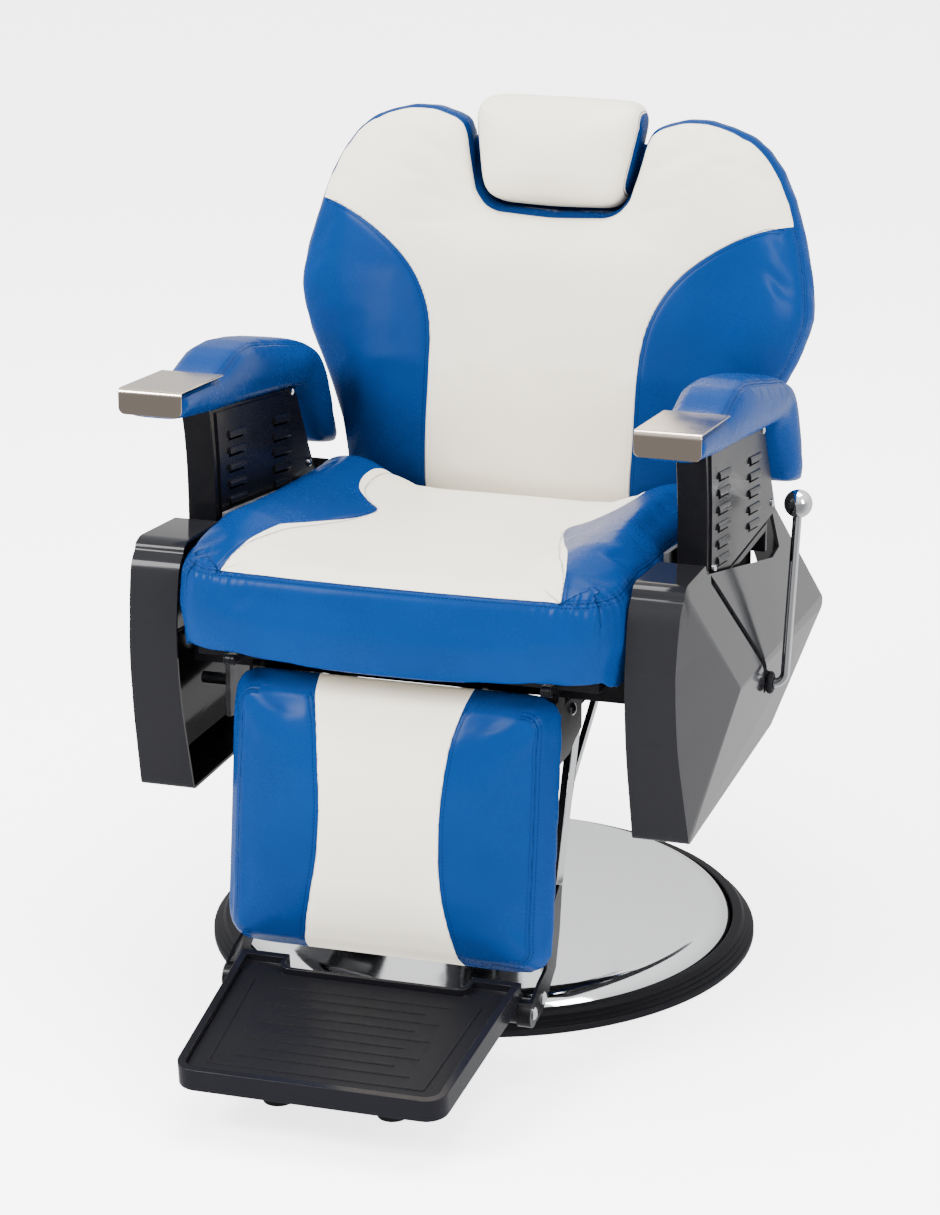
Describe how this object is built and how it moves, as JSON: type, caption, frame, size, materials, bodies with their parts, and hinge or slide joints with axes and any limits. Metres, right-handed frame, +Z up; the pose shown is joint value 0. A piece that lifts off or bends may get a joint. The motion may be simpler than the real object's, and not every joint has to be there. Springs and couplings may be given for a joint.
{
  "type": "reclining barber chair",
  "caption": "Salon chair on a round hydraulic pedestal, with a swivelling seat, faceted side covers, padded arms, reclining back, headrest and swing-up leg rest with footplate.",
  "frame": {"origin": "on the floor, at the centre of the round pedestal, which is the swivel axis", "axes": "+Z up along the swivel axis; the seat faces -Y at rest; +X is towards the recline lever's side, the sitter's left hand"},
  "size_m": [0.723, 1.0294, 0.9639],
  "materials": {
    "black_rubber": "moulded rubber with a dull sheen",
    "cast_steel": "painted casting",
    "chrome": "polished chrome plate",
    "bronze": "turned bronze",
    "zinc_steel": "zinc-plated steel",
    "black_steel": "black powder coat",
    "grey_steel": "grey primed plate",
    "plywood": "plain plywood",
    "ivory_vinyl": "smooth upholstery vinyl with a soft sheen",
    "blue_vinyl": "glossy royal blue upholstery vinyl",
    "black_gloss": "high-gloss moulded plastic",
    "polished_steel": "mirror-polished stainless steel"
  },
  "bodies": {
    "pedestal": {"base_skirt": "black_rubber", "floor_plate": "cast_steel", "base_dish": "chrome", "pump_cylinder": "cast_steel", "pump_sleeve": "chrome", "pump_bush": "bronze", "pump_bolts": "zinc_steel"},
    "pedal": {"pump_pedal": "chrome", "pedal_rubber": "black_rubber"},
    "ram": {"ram": "chrome"},
    "seat": {"swivel_plate": "black_steel", "swivel_bolts": "zinc_steel", "seat_frame": "black_steel", "seat_board": "plywood", "seat_cushion": "ivory_vinyl", "side_frame_left": "grey_steel", "side_frame_right": "grey_steel", "side_cover_left": "black_gloss", "side_cover_right": "black_gloss", "cover_posts": "zinc_steel", "arm_support_left": "black_steel", "arm_support_right": "black_steel", "arm_clamps": "black_steel", "louvre_outer_left": "black_steel", "louvre_inner_left": "black_steel", "louvre_outer_right": "black_steel", "louvre_inner_right": "black_steel", "louvre_screws": "zinc_steel", "armrest_pad_left": "blue_vinyl", "armrest_pad_right": "blue_vinyl", "armrest_cap_left": "polished_steel", "armrest_cap_right": "polished_steel", "lever_grommet": "black_rubber", "lever_bush": "bronze", "recline_bushes": "bronze", "lock_cylinder": "black_steel"},
    "lever": {"recline_lever": "chrome", "lever_ball": "chrome"},
    "backrest": {"recline_shaft": "grey_steel", "back_bracket_left": "black_steel", "back_bracket_right": "black_steel", "back_board": "blue_vinyl", "backrest_cushion": "ivory_vinyl", "headrest_guide": "black_steel"},
    "headrest": {"headrest_cushion": "ivory_vinyl", "headrest_post": "chrome"},
    "link": {"recline_link": "zinc_steel"},
    "lock_rod": {"lock_rod": "chrome"},
    "leg_rest": {"leg_hinges": "black_steel", "leg_arm_left": "chrome", "leg_arm_right": "chrome", "leg_crossbar": "chrome", "calf_board": "plywood", "calf_lug": "black_steel", "calf_pad": "ivory_vinyl", "foot_brackets": "black_steel", "leg_bolts": "chrome"},
    "footplate": {"foot_tray": "black_gloss", "foot_tread": "black_rubber", "foot_buffers": "black_rubber"}
  },
  "joints": [
    {"name": "pump_stroke", "type": "hinge", "parent": "pedestal", "child": "pedal", "pos_m": [-0.03747, 0.05555, 0.076], "axis": [-0.829, -0.5592, 0], "range_deg": [0, 7], "stiffness_Nm_per_rad": 40, "springref_deg": -2.86},
    {"name": "seat_height", "type": "slide", "parent": "pedestal", "child": "ram", "axis": [0, 0, 1], "range_m": [0, 0.15]},
    {"name": "seat_swivel", "type": "hinge", "parent": "ram", "child": "seat", "pos_m": [0, 0, 0.35], "axis": [0, 0, 1], "continuous": true},
    {"name": "lever_pull", "type": "hinge", "parent": "seat", "child": "lever", "pos_m": [0.3, 0.042, 0.336], "axis": [-1, 0, 0], "range_deg": [0, 15], "stiffness_Nm_per_rad": 2, "springref_deg": -5.73},
    {"name": "back_recline", "type": "hinge", "parent": "seat", "child": "backrest", "pos_m": [0, 0.215, 0.43], "axis": [-1, 0, 0], "range_deg": [0, 45]},
    {"name": "headrest_slide", "type": "slide", "parent": "backrest", "child": "headrest", "axis": [0, 0.2419, 0.9703], "range_m": [0, 0.11]},
    {"name": "link_pivot", "type": "hinge", "parent": "backrest", "child": "link", "pos_m": [-0.118, 0.275, 0.346], "axis": [-1, 0, 0], "range_deg": [-45, 0]},
    {"name": "lock_stroke", "type": "slide", "parent": "seat", "child": "lock_rod", "axis": [0, -1, 0], "range_m": [0, 0.0772]},
    {"name": "leg_swing", "type": "hinge", "parent": "seat", "child": "leg_rest", "pos_m": [0, -0.366, 0.446], "axis": [-1, 0, 0], "range_deg": [0, 45]},
    {"name": "footplate_fold", "type": "hinge", "parent": "leg_rest", "child": "footplate", "pos_m": [0, -0.403, 0.08], "axis": [-1, 0, 0], "range_deg": [0, 32]}
  ],
  "couplings": [
    {"joint": "leg_swing", "follows": "back_recline", "ratio": 1},
    {"joint": "link_pivot", "follows": "back_recline", "ratio": -1},
    {"joint": "lock_stroke", "follows": "back_recline", "m_per_rad": 0.0982}
  ]
}
